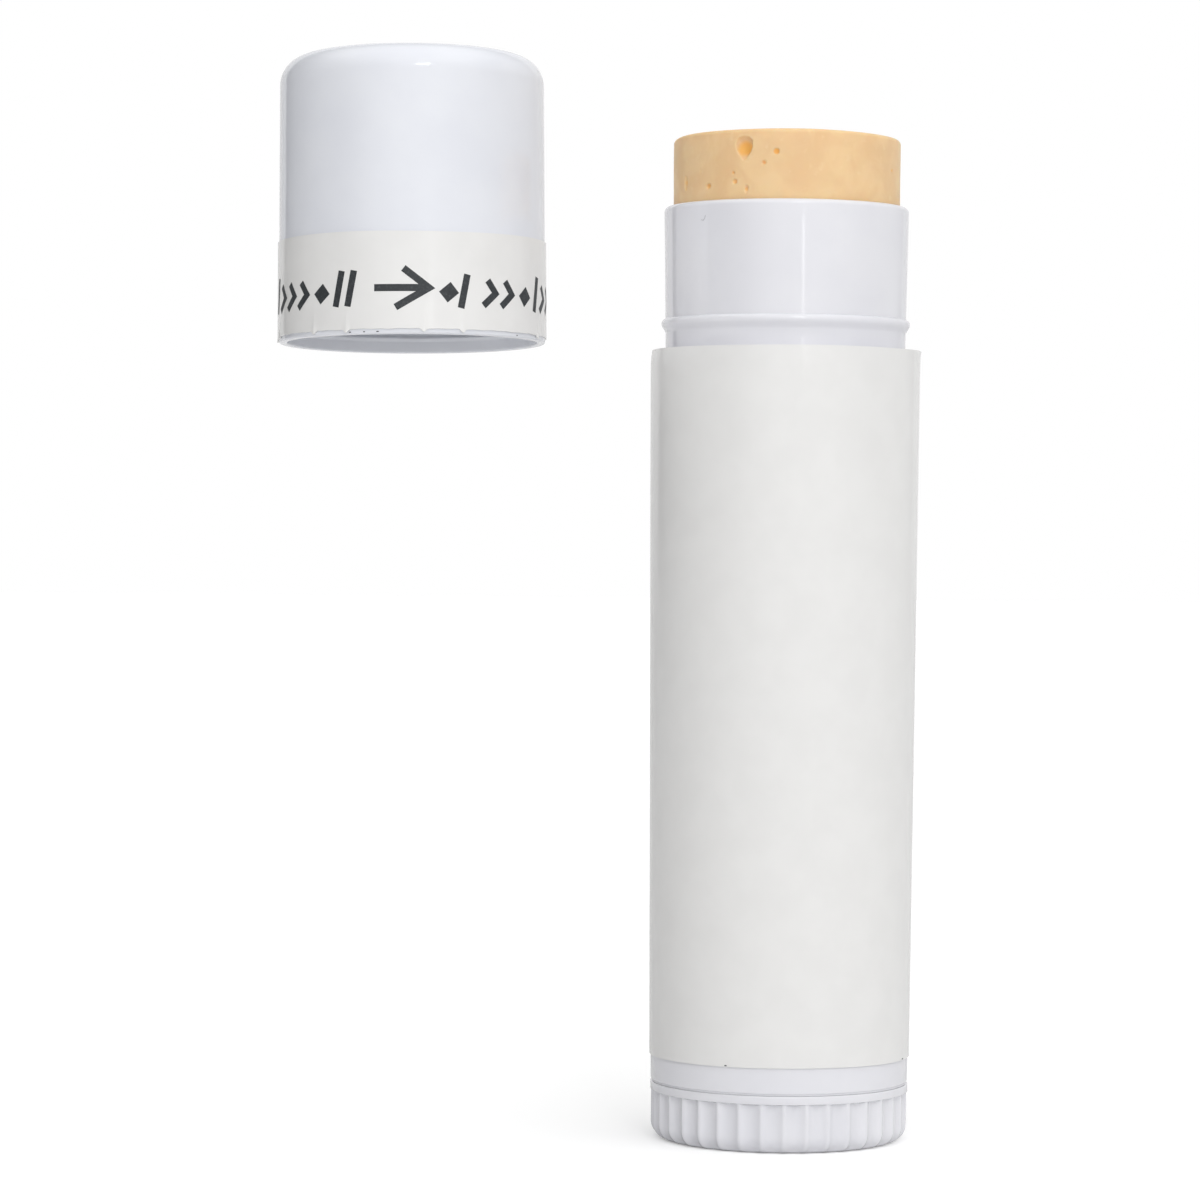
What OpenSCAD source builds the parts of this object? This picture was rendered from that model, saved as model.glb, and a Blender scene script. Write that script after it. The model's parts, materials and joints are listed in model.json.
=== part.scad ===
// Twist-up sunscreen stick with its cap taken off beside it.
// A ribbed wheel turns a screw that raises a carrier and the wax cast on it.
// The origin is the middle of the wheel's underside, on the tube's axis.

/* [Twist wheel] */
// How far the plain ring at the wheel's top stands out past the tube's foot
wheel_proud = 0.025; // [0.01:0.005:0.1]
// Height of the wheel below the tube
wheel_h = 3.45; // [3:0.05:5]
// Height of the plain ring above the flutes
wheel_ring_h = 0.5; // [0.3:0.05:0.9]
// How far the flutes' crests stand back from the ring
wheel_ring_step = 0.05; // [0.02:0.01:0.12]
// Radius of the wheel's bottom edge
wheel_edge_r = 1.0; // [0.5:0.05:1.2]
// Number of flutes around the wheel
flute_count = 36; // [24:1:40]
// Radius of each flute's hollow
flute_r = 0.92; // [0.5:0.02:0.96]
// Depth of each flute
flute_depth = 0.24; // [0.12:0.02:0.3]
// Wall between the flutes and the recess under the wheel
wheel_wall = 1.1; // [0.9:0.05:1.4]
// Thickness of the wheel's deck
wheel_deck_t = 1.3; // [1:0.05:1.8]

/* [Screw] */
// Height of the ring that snaps into the tube
boss_h = 3.2; // [2.6:0.1:4.5]
// Wall of the snap ring
boss_wall = 0.9; // [0.7:0.05:1.2]
// How far the snap bead stands out of its ring
snap_out = 0.22; // [0.12:0.02:0.26]
// Height of the snap bead
snap_h = 0.6; // [0.4:0.05:0.8]
// Radius of the screw's root where it leaves the deck
root_r = 2.6; // [2.2:0.05:3]
// Height of the screw's root above the deck
root_h = 1.6; // [1:0.1:2.4]
// Mean radius of the screw
thread_r = 1.5; // [1.3:0.05:1.8]
// Half the thread's depth
thread_ecc = 0.3; // [0.2:0.02:0.4]
// Rise of the carrier in one turn
thread_lead = 5; // [4:0.25:6]
// Depth of the screw's tip below the neck's rim
screw_drop = 6.6; // [5.5:0.1:10]

/* [Tube] */
// Length of the tube from its foot to the neck's rim
barrel_l = 52.65; // [46:0.05:60]
// Diameter of the bore
bore_d = 13.8; // [12.8:0.02:15]
// Wall of the tube at its bare foot
foot_wall = 0.85; // [0.7:0.01:1.2]
// How much thicker the body's wall is at the shoulder than at the foot
body_draft = 0.3; // [0.1:0.01:0.6]
// Height of the neck above the shoulder
neck_h = 8.75; // [7.5:0.05:10]
// Wall of the neck at its rim
neck_rim_wall = 0.475; // [0.42:0.005:0.55]
// Wall of the neck at the shoulder
neck_low_wall = 0.33; // [0.3:0.005:0.42]
// Radius of the rim's outer edge
rim_edge_r = 0.32; // [0.15:0.01:0.38]
// Radius of the foot's and the shoulder's outer edges
body_edge_r = 0.12; // [0.05:0.01:0.2]
// Depth of the snap bead's crest below the rim
bead_drop = 7.05; // [6:0.05:7.6]
// How far the snap bead stands out of the neck
bead_out = 0.24; // [0.14:0.01:0.3]
// Height of the bead's crisp upper side
bead_up_h = 0.28; // [0.15:0.01:0.4]
// Height of the bead's hollow lower side
bead_low_h = 0.6; // [0.4:0.02:0.8]
// Number of guide ribs in the bore
rib_count = 4; // [2:1:6]
// Width of a guide rib
rib_w = 0.7; // [0.5:0.05:1]
// How far a guide rib stands into the bore
rib_out = 0.35; // [0.25:0.01:0.45]
// Depth of the ribs' upper ends below the rim
rib_drop = 5.7; // [5.5:0.1:8]

/* [Wrap label] */
// Bare height of the tube below the label
foot_bare = 1.55; // [0.8:0.05:3]
// Thickness of the film
film_t = 0.08; // [0.05:0.01:0.12]
// How far the label stands above the shoulder
label_lip = 0.1; // [0.04:0.01:0.2]
// Width of the overlap at the back
lap_w = 2.4; // [1.5:0.1:4]

/* [Carrier] */
// Height of the carrier's cup
cup_h = 6; // [4:0.1:7.5]
// Wall of the cup
cup_wall = 0.65; // [0.6:0.05:0.9]
// Thickness of the carrier's deck
deck_t = 1; // [0.8:0.05:1.4]
// Radius of the nut in the middle
nut_r = 2.9; // [2.6:0.05:3.3]
// Height of the nut
nut_h = 7.5; // [6.5:0.1:9]
// Height of the fins that hold the wax
fin_h = 3.4; // [2:0.1:3.8]
// Thickness of a fin
fin_t = 0.6; // [0.4:0.05:0.9]

/* [Wax stick] */
// How far the wax stands out of the neck
wax_out = 4.15; // [2:0.05:4.4]
// How far the wax winds down from where it stands
wind_down = 4.5; // [4.4:0.05:5]
// Radius of the wax's top edge
wax_edge_r = 0.25; // [0.1:0.01:0.5]
// Radius of the large casting hollow
void_r = 0.42; // [0.25:0.01:0.5]
// Radius of the small casting hollows
pit_r = 0.16; // [0.1:0.01:0.22]

/* [Cap] */
// Wall of the cap
cap_wall = 0.48; // [0.4:0.01:0.8]
// How much the cap's wall leans in towards its top
cap_draft = 0.06; // [0.02:0.01:0.2]
// Length of the cap
cap_l = 17.45; // [16:0.05:20]
// Radius of the cap's top edge
cap_edge_r = 1.75; // [1.5:0.05:2.6]
// Rise of the cap's slightly domed top
cap_dome = 0.15; // [0.05:0.01:0.3]
// Thickness of the cap's top
cap_top_t = 0.8; // [0.6:0.05:1.2]
// Height of the cap's snap ridge above its mouth
cap_snap_up = 0.9; // [0.7:0.05:1.1]
// How far the snap ridge stands into the cap
cap_snap_out = 0.12; // [0.06:0.01:0.16]
// Height of the seal band left on the cap
band_h = 5.75; // [4:0.05:8]
// Height of the band's torn edge above the mouth
band_up = 0.3; // [0.05:0.01:0.4]
// Distance of the cap's axis from the tube's
cap_offset = 22.55; // [18:0.05:40]
// Height of the cap's mouth above the tube's shoulder
cap_lift = 0.35; // [0:0.05:4]
// Lean of the cap away from the viewer
cap_lean = 1.5; // [0:0.1:3]
// Lean of the cap to its left
cap_tip = 0.55; // [0:0.05:2]

/* [Fits] */
// Gap between the turning wheel and the tube's foot
wheel_gap = 0.1; // [0.05:0.01:0.2]
// Radial clearance of the snap ring in the bore
turn_clearance = 0.08; // [0.05:0.01:0.1]
// Radial clearance of the wax in the bore
wax_clearance = 0.065; // [0.05:0.005:0.1]
// Radial clearance of the cap's bore around the neck's bead
cap_clearance = 0.05; // [0.03:0.01:0.08]
// Radial clearance of the carrier in the bore
slide_clearance = 0.08; // [0.05:0.01:0.1]
// Clearance on each side of a guide rib
rib_clearance = 0.15; // [0.1:0.01:0.2]
// Radial clearance of the screw in its nut
thread_clearance = 0.14; // [0.12:0.01:0.2]
// Clearance of the wax around the screw
screw_clearance = 0.25; // [0.15:0.01:0.4]
// Gap under the carrier when it is wound down
stop_gap = 0.3; // [0.2:0.05:0.6]
// Film of glue or air between pieces that are cast or stuck together
bond_gap = 0.01; // [0.005:0.005:0.03]

/* [Hidden] */

$fn = 96;
// Overshoot of a cutting solid past the face that it cuts
over = 0.5;
// Angle between two points of a rounded profile
arc_step = 15;
// Slices in each turn of the thread, and sides of its round section
thread_slices = 12;
thread_sides = 16;

plastic_colour = [0.89, 0.90, 0.94];
film_colour = [0.93, 0.93, 0.92];
wax_colour = [0.94, 0.82, 0.63];

barrel_z = wheel_h + wheel_gap;
rim_z = barrel_z + barrel_l;
shoulder_z = rim_z - neck_h;
bead_z = rim_z - bead_drop;
bore_r = bore_d / 2;
foot_r = bore_r + foot_wall;
body_top_r = foot_r + body_draft;

wheel_r = foot_r + wheel_proud;
crest_r = wheel_r - wheel_ring_step;
recess_r = crest_r - flute_depth - wheel_wall;
recess_h = wheel_h - wheel_deck_t;

boss_r = bore_r - turn_clearance;
boss_top = wheel_h + boss_h;
snap_z = wheel_h + boss_h / 2;
root_top = wheel_h + root_h;
screw_top = rim_z - screw_drop;
thread_out_r = thread_r + thread_ecc;

carrier_r = bore_r - slide_clearance;
carrier_z = boss_top + stop_gap + wind_down;
carrier_deck = carrier_z + deck_t;
cup_in_r = carrier_r - cup_wall;

rib_low = boss_top + stop_gap / 2;
rib_top = rim_z - rib_drop;

wax_r = bore_r - wax_clearance;
wax_top = rim_z + wax_out;

label_low = barrel_z + foot_bare;
label_top = shoulder_z + label_lip;

// Outer radius of the tube's body at a height
function body_r(z) = foot_r + body_draft * (z - barrel_z) / (shoulder_z - barrel_z);

// Outer radius of the neck at a height
function neck_r(z) =
    bore_r + neck_low_wall + (neck_rim_wall - neck_low_wall) * (z - shoulder_z) / neck_h;

cap_bore_r = neck_r(bead_z) + bead_out + cap_clearance;
cap_r = cap_bore_r + cap_wall;
cap_z = shoulder_z + cap_lift;

// How far the cap's wall has leaned in at a height above its mouth
function cap_lean_in(h) = cap_draft * h / (cap_l - cap_edge_r);

// Points of an arc about a centre, from one angle to another
function arc(centre, r, from, to) =
    [for (i = [0 : round(abs(to - from) / arc_step)])
        let (a = from + sign(to - from) * i * arc_step)
            centre + r * [cos(a), sin(a)]];

// Angle of the thread's high side at a height
function thread_angle(z) = -360 * (z - root_top) / thread_lead;

// The thread's solid between two heights, grown by a clearance
module thread_solid(low, high, grow) {
    span = high - low;
    translate([0, 0, low])
        rotate([0, 0, thread_angle(low)])
            linear_extrude(
                height = span,
                twist = 360 * span / thread_lead,
                slices = ceil(thread_slices * span / thread_lead),
                $fn = thread_sides
            )
                translate([thread_ecc, 0])
                    circle(r = thread_r + grow);
}

// A ridge around a wall: positive heights stand out, negative ones stand in
module ridge(wall_r, z, out, h) {
    rotate_extrude()
        polygon([
            [wall_r - sign(out) * over / 4, z - h / 2],
            [wall_r, z - h / 2],
            [wall_r + out, z - h / 6],
            [wall_r + out, z + h / 6],
            [wall_r, z + h / 2],
            [wall_r - sign(out) * over / 4, z + h / 2],
        ]);
}

// Bars spread around the bore at the guide ribs' places
module rib_bars(low, high, out, side) {
    for (i = [0 : rib_count - 1])
        rotate([0, 0, (i + 0.5) * 360 / rib_count])
            translate([bore_r - out, -rib_w / 2 - side, low])
                cube([out + body_edge_r, rib_w + 2 * side, high - low]);
}

module barrel() {
    outline = concat(
        [[bore_r, barrel_z]],
        arc([body_r(barrel_z) - body_edge_r, barrel_z + body_edge_r], body_edge_r, -90, 0),
        arc([body_top_r - body_edge_r, shoulder_z - body_edge_r], body_edge_r, 0, 90),
        [[neck_r(shoulder_z), shoulder_z]],
        [for (t = [180 : -30 : 30])
            let (z = bead_z - bead_low_h * t / 180)
                [neck_r(z) + bead_out * (1 + cos(t)) / 2, z]],
        [for (a = [0 : arc_step : 90])
            let (z = bead_z + bead_up_h * sin(a))
                [neck_r(z) + bead_out * cos(a), z]],
        arc([neck_r(rim_z) - rim_edge_r, rim_z - rim_edge_r], rim_edge_r, 0, 90),
        [[bore_r, rim_z]]
    );
    color(plastic_colour) {
        difference() {
            rotate_extrude() polygon(outline);
            ridge(bore_r, snap_z, snap_out + turn_clearance, snap_h + 2 * turn_clearance);
        }
        rib_bars(rib_low, rib_top, rib_out, 0);
    }
}

// A film around a tapering wall, with a second layer over its overlap
module film(inner_low, inner_high, low, high, lap_angle) {
    rotate_extrude()
        polygon([
            [inner_low, low],
            [inner_low + film_t, low],
            [inner_high + film_t, high],
            [inner_high, high],
        ]);
    rotate([0, 0, 90 - lap_angle / 2])
        rotate_extrude(angle = lap_angle)
            polygon([
                [inner_low + film_t / 2, low],
                [inner_low + 2 * film_t, low],
                [inner_high + 2 * film_t, high],
                [inner_high + film_t / 2, high],
            ]);
}

module barrel_label() {
    color(film_colour)
        film(
            body_r(label_low) + bond_gap,
            body_r(label_top) + bond_gap,
            label_low,
            label_top,
            lap_w / (2 * PI * body_top_r) * 360
        );
}

module twist_wheel() {
    outline = concat(
        [[0, 0], [root_r, 0], [root_r, recess_h], [recess_r, recess_h], [recess_r, 0]],
        arc([crest_r - wheel_edge_r, wheel_edge_r], wheel_edge_r, -90, 0),
        [
            [crest_r, wheel_h - wheel_ring_h],
            [wheel_r, wheel_h - wheel_ring_h],
            [wheel_r, wheel_h - body_edge_r],
            [wheel_r - body_edge_r, wheel_h],
            [boss_r, wheel_h],
            [boss_r, boss_top - body_edge_r],
            [boss_r - body_edge_r, boss_top],
            [boss_r - boss_wall, boss_top],
            [boss_r - boss_wall, wheel_h],
            [root_r, wheel_h],
            [root_r, root_top],
            [0, root_top],
        ]
    );
    color(plastic_colour) {
        difference() {
            rotate_extrude() polygon(outline);
            for (i = [0 : flute_count - 1])
                rotate([0, 0, (i + 0.5) * 360 / flute_count])
                    translate([crest_r + flute_r - flute_depth, 0, -over])
                        cylinder(r = flute_r, h = wheel_h - wheel_ring_h + over);
        }
        ridge(boss_r, snap_z, snap_out, snap_h);
        thread_solid(root_top - over, screw_top, 0);
    }
}

// The fins between the carrier's nut and its cup
module fins(grow) {
    for (i = [0 : 3])
        rotate([0, 0, i * 90])
            translate([0, -fin_t / 2 - grow, carrier_deck - over])
                cube([carrier_r - cup_wall / 2, fin_t + 2 * grow, fin_h + over + grow]);
}

module carrier() {
    color(plastic_colour)
        difference() {
            union() {
                difference() {
                    translate([0, 0, carrier_z]) cylinder(r = carrier_r, h = cup_h);
                    translate([0, 0, carrier_deck]) cylinder(r = cup_in_r, h = cup_h);
                }
                translate([0, 0, carrier_z]) cylinder(r = nut_r, h = nut_h);
                fins(0);
            }
            rib_bars(
                carrier_z - over,
                carrier_z + cup_h + over,
                rib_out + rib_clearance,
                rib_clearance
            );
            thread_solid(carrier_z - over, carrier_z + nut_h + over, thread_clearance);
        }
}

// A hollow left by a bubble in the wax's side, at an angle from the front
module hollow(angle, depth_below_top, r) {
    rotate([0, 0, angle - 90])
        translate([wax_r - r, 0, wax_top - depth_below_top])
            rotate([0, 90, 0])
                cylinder(r1 = r / 2, r2 = 1.5 * r, h = 2 * r, $fn = 24);
}

module wax_stick() {
    cup_top = carrier_z + cup_h + bond_gap;
    nut_top = carrier_z + nut_h + bond_gap;
    screw_r = thread_out_r + screw_clearance;
    bore_top = screw_top + wind_down + screw_clearance;
    outline = concat(
        [
            [nut_r + bond_gap, carrier_deck],
            [cup_in_r - bond_gap, carrier_deck],
            [cup_in_r - bond_gap, cup_top],
            [wax_r, cup_top],
        ],
        arc([wax_r - wax_edge_r, wax_top - wax_edge_r], wax_edge_r, 0, 90),
        [
            [0, wax_top],
            [0, bore_top],
            [screw_r, bore_top],
            [screw_r, nut_top],
            [nut_r + bond_gap, nut_top],
        ]
    );
    color(wax_colour)
        difference() {
            rotate_extrude() polygon(outline);
            fins(bond_gap);
            rib_bars(
                cup_top - over,
                rib_top + wind_down + rib_clearance,
                rib_out + rib_clearance,
                rib_clearance
            );
            hollow(-22, 0.6, void_r);
            hollow(-22.5, 1.1, void_r * 0.7);
            hollow(-5, 0.9, pit_r);
            hollow(-28, 2.8, pit_r);
            hollow(-44, 3.0, pit_r);
            hollow(-62, 2.9, pit_r);
        }
}

// Moves the cap and its band to where the cap hangs beside the tube
module at_cap() {
    translate([-cap_offset, 0, cap_z])
        rotate([-cap_lean, -cap_tip, 0])
            children();
}

module cap() {
    edge_z = cap_l - cap_dome - cap_edge_r;
    inner_edge_r = cap_edge_r - cap_wall;
    roof_z = cap_l - cap_top_t;
    inner_edge_z = roof_z - inner_edge_r;
    outline = concat(
        [[cap_bore_r + body_edge_r, 0]],
        arc([cap_r - body_edge_r, body_edge_r], body_edge_r, -90, 0),
        arc([cap_r - cap_lean_in(edge_z) - cap_edge_r, edge_z], cap_edge_r, 0, 75),
        [[0, cap_l], [0, roof_z]],
        arc(
            [cap_bore_r - cap_lean_in(inner_edge_z) - inner_edge_r, inner_edge_z],
            inner_edge_r,
            90,
            0
        ),
        [[cap_bore_r, body_edge_r]]
    );
    color(plastic_colour)
        at_cap() {
            rotate_extrude() polygon(outline);
            ridge(cap_bore_r, cap_snap_up, -cap_snap_out, 4 * cap_snap_out);
        }
}

module seal_band() {
    color(film_colour)
        at_cap()
            film(
                cap_r - cap_lean_in(band_up) + bond_gap,
                cap_r - cap_lean_in(band_up + band_h) + bond_gap,
                band_up,
                band_up + band_h,
                lap_w / (2 * PI * cap_r) * 360
            );
}

barrel();
barrel_label();
twist_wheel();
carrier();
wax_stick();
cap();
seal_band();
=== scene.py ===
"""Looks of a twist-up sunscreen stick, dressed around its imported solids.

The tube stands upright with its wax wound a little way out, and the cap hangs beside the neck.
Sizes are in millimetres in the classes below and become metres where a mesh is made.
"""

import json
import logging
import math
from collections.abc import Callable, Mapping, Sequence
from dataclasses import dataclass, field, replace
from enum import Enum

import bmesh
import bpy
import numpy as np
from mathutils import Matrix, Vector

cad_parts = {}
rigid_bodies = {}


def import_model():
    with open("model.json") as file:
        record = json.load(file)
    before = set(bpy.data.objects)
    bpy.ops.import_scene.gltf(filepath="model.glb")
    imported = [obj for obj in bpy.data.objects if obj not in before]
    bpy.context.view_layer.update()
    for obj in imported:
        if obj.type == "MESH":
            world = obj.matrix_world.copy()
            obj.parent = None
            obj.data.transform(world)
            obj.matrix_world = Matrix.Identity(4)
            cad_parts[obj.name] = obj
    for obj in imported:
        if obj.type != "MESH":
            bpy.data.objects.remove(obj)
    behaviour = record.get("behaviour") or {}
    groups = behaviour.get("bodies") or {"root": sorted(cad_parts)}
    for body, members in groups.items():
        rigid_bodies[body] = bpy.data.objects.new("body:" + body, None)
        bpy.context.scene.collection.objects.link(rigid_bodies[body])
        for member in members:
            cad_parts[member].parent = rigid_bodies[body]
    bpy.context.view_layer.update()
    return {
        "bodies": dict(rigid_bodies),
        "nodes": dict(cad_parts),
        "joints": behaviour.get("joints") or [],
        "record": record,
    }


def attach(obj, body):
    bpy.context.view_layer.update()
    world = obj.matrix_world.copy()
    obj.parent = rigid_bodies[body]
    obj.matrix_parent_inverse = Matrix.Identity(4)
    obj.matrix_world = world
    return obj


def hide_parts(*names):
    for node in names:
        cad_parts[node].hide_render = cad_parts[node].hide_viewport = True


LOG = logging.getLogger("sunscreen_stick")
MM = 0.001
MOULD_WAVE = 0.006
POLE_R = 1e-9
FRONT = -90.0
BACK = 90.0

Colour = tuple[float, float, float]
Moved = tuple[np.ndarray, np.ndarray]
Shape = Callable[[np.ndarray, np.ndarray, np.ndarray], Moved]
Spots = tuple[tuple[float, float], ...]
Section = list[tuple[float, float]]


class Body(Enum):
    """The moving bodies that pieces ride on."""

    TUBE = "tube"
    WHEEL = "wheel_and_screw"
    CARRIER = "carrier_and_wax"
    CAP = "loose_cap"


class Slot(Enum):
    """The record's material slots."""

    TUBE = "tube_plastic"
    CAP = "cap_plastic"
    FILM = "label_film"
    WAX = "wax"


def _operator(operation: str, swapped: bool = False) -> Callable:
    """Returns the method that adds a Math node for one of Python's operators.

    Args:
        operation: The Math node's operation.
        swapped: True where the other term comes first.
    """

    def method(self: "Value", other: "Value | float") -> "Value":
        terms = (other, self) if swapped else (self, other)
        return self._math(operation, *terms)

    return method


class Value:
    """A shader socket that adds Math nodes when it meets Python's operators."""

    def __init__(self, graph: "Graph", socket: bpy.types.NodeSocket) -> None:
        """Args:
            graph: The node graph that the socket belongs to.
            socket: An output that carries a number.
        """
        self.graph = graph
        self.socket = socket

    def _math(self, operation: str, *terms: "Value | float") -> "Value":
        """Returns the output of a Math node on these terms."""
        inputs = dict(enumerate(terms))
        made = self.graph.node("ShaderNodeMath", {"operation": operation}, inputs)
        return Value(self.graph, made.outputs[0])

    __add__, __radd__ = _operator("ADD"), _operator("ADD", swapped=True)
    __sub__, __rsub__ = _operator("SUBTRACT"), _operator("SUBTRACT", swapped=True)
    __mul__, __rmul__ = _operator("MULTIPLY"), _operator("MULTIPLY", swapped=True)

    def floored(self) -> "Value":
        """Returns self, or 0 where self is below 0."""
        return self._math("MAXIMUM", self, 0.0)

    def over(self, low: float, high: float) -> "Value":
        """Returns a mask that rises smoothly from 0 at low to 1 at high."""
        inputs = {0: self, 1: low, 2: high}
        settings = {"interpolation_type": "SMOOTHSTEP"}
        made = self.graph.node("ShaderNodeMapRange", settings, inputs)
        return Value(self.graph, made.outputs[0])


class Graph:
    """A material's or a world's node graph."""

    def __init__(self, tree: bpy.types.NodeTree) -> None:
        """Args:
            tree: The tree to build in. Its old nodes are removed.
        """
        self.tree = tree
        tree.nodes.clear()

    def node(
        self,
        kind: str,
        settings: Mapping[str, object] | None = None,
        inputs: Mapping[str | int, object] | None = None,
    ) -> bpy.types.Node:
        """Adds one node.

        Args:
            kind: The node's type.
            settings: Its properties. "stops" gives a ramp's positions and colours.
            inputs: A value or a link for each socket, by name or number.

        Returns:
            The node.
        """
        made = self.tree.nodes.new(kind)
        for name, setting in (settings or {}).items():
            if name == "stops":
                self._set_stops(made.color_ramp, setting)
            else:
                setattr(made, name, setting)
        for name, given in (inputs or {}).items():
            socket = made.inputs[name]
            if isinstance(given, Value):
                given = given.socket
            if isinstance(given, bpy.types.NodeSocket):
                self.tree.links.new(given, socket)
            elif isinstance(given, tuple) and len(given) == 3 and socket.type == "RGBA":
                socket.default_value = (*given, 1.0)
            else:
                socket.default_value = given
        return made

    @staticmethod
    def _set_stops(ramp: bpy.types.ColorRamp, stops: Sequence[tuple[float, Colour]]) -> None:
        """Gives a colour ramp these (position, colour) stops."""
        while len(ramp.elements) < len(stops):
            ramp.elements.new(1.0)
        for element, (position, colour) in zip(ramp.elements, stops):
            element.position = position
            element.color = (*colour, 1.0)

    def value(
        self, kind: str, settings: Mapping[str, object], inputs: Mapping, out: int | str = 0
    ) -> Value:
        """Returns one output of a new node as a number for expressions."""
        return Value(self, self.node(kind, settings, inputs).outputs[out])

    def mix(self, factor: Value | float, first: object, second: object) -> bpy.types.NodeSocket:
        """Returns the colour that goes from first to second as factor goes from 0 to 1."""
        inputs = {0: factor, 6: first, 7: second}
        return self.node("ShaderNodeMix", {"data_type": "RGBA"}, inputs).outputs[2]

    def millimetres(self, stretch: Colour = (1.0, 1.0, 1.0)) -> bpy.types.NodeSocket:
        """Returns the piece's own coordinates in millimetres, stretched along its axes."""
        own = self.node("ShaderNodeTexCoord").outputs["Object"]
        scale = tuple(axis / MM for axis in stretch)
        inputs = {0: own, 1: scale}
        return self.node("ShaderNodeVectorMath", {"operation": "MULTIPLY"}, inputs).outputs[0]

    def noise(self, place: bpy.types.NodeSocket, per_mm: float, detail: float = 2.0) -> Value:
        """Returns noise from 0 to 1 with this many grains in a millimetre."""
        inputs = {"Vector": place, "Scale": per_mm, "Detail": detail}
        return self.value("ShaderNodeTexNoise", {}, inputs)

    def bump(self, height: Value, depth_mm: float) -> bpy.types.NodeSocket:
        """Returns normals tilted by a height from 0 to 1 that stands for this depth."""
        inputs = {"Strength": 1.0, "Distance": depth_mm * MM, "Height": height}
        return self.node("ShaderNodeBump", {}, inputs).outputs[0]


def add_object(name: str, data: bpy.types.ID) -> bpy.types.Object:
    """Returns a new object with this data, linked to the scene."""
    made = bpy.data.objects.new(name, data)
    bpy.context.scene.collection.objects.link(made)
    return made


def new_material(name: str) -> tuple[bpy.types.Material, Graph]:
    """Returns a new material and its empty node graph."""
    material = bpy.data.materials.new(name)
    material.use_nodes = True
    return material, Graph(material.node_tree)


def finish_surface(graph: Graph, shader: bpy.types.Node) -> None:
    """Sends a shader to the material's surface."""
    graph.node("ShaderNodeOutputMaterial", {}, {"Surface": shader.outputs[0]})


@dataclass(frozen=True)
class Finish:
    """A surface made by a Principled shader."""

    name: str

    def inputs(self, graph: Graph) -> dict[str, object]:
        """Returns the shader's inputs."""
        raise NotImplementedError

    def material(self) -> bpy.types.Material:
        """Returns the material."""
        material, graph = new_material(self.name)
        finish_surface(graph, graph.node("ShaderNodeBsdfPrincipled", {}, self.inputs(graph)))
        return material


@dataclass(frozen=True)
class MouldedPlastic(Finish):
    """Glossy white moulded plastic with a faint cloudiness and fine handling marks."""

    colour: Colour
    shade: Colour
    roughness: float = 0.07
    glow: float = 0.12
    glow_mm: float = 0.6
    grain_mm: float = 0.0006
    swell_mm: float = 0.004

    def inputs(self, graph: Graph) -> dict[str, object]:
        """Returns the shader's inputs."""
        place = graph.millimetres()
        cloud = graph.noise(place, 0.22, 3.0)
        grain = graph.noise(place, 14.0, 2.0)
        rubbed = graph.noise(graph.millimetres((9.0, 9.0, 0.5)), 1.0, 3.0).over(0.62, 0.78)
        swell = graph.noise(graph.millimetres((1.0, 1.0, 0.35)), 0.3, 1.0)
        relief = swell * self.swell_mm + grain * self.grain_mm
        return {
            "Base Color": graph.mix(cloud.over(0.35, 0.7), self.shade, self.colour),
            "Roughness": self.roughness + 0.05 * rubbed + 0.04 * grain,
            "Specular IOR Level": 0.5,
            "Subsurface Weight": self.glow,
            "Subsurface Radius": (1.0, 1.0, 1.0),
            "Subsurface Scale": self.glow_mm * MM,
            "Normal": graph.bump(relief, 1.0),
        }


@dataclass(frozen=True)
class WrapFilmFinish(Finish):
    """Satin warm white film with soft wrinkles and a very fine tooth."""

    colour: Colour
    shade: Colour
    roughness: float = 0.11
    tooth_mm: float = 0.0006
    wrinkle_mm: float = 0.006

    def inputs(self, graph: Graph) -> dict[str, object]:
        """Returns the shader's inputs."""
        place = graph.millimetres()
        mottle = graph.noise(place, 0.5, 4.0)
        tooth = graph.noise(graph.millimetres((1.0, 1.0, 0.6)), 11.0, 3.0)
        wrinkle = graph.noise(graph.millimetres((1.0, 1.0, 0.12)), 0.35, 1.0)
        relief = wrinkle * self.wrinkle_mm + tooth * self.tooth_mm
        return {
            "Base Color": graph.mix(mottle.over(0.3, 0.7), self.shade, self.colour),
            "Roughness": self.roughness + 0.08 * tooth,
            "Specular IOR Level": 0.42,
            "Normal": graph.bump(relief, 1.0),
        }


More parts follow.
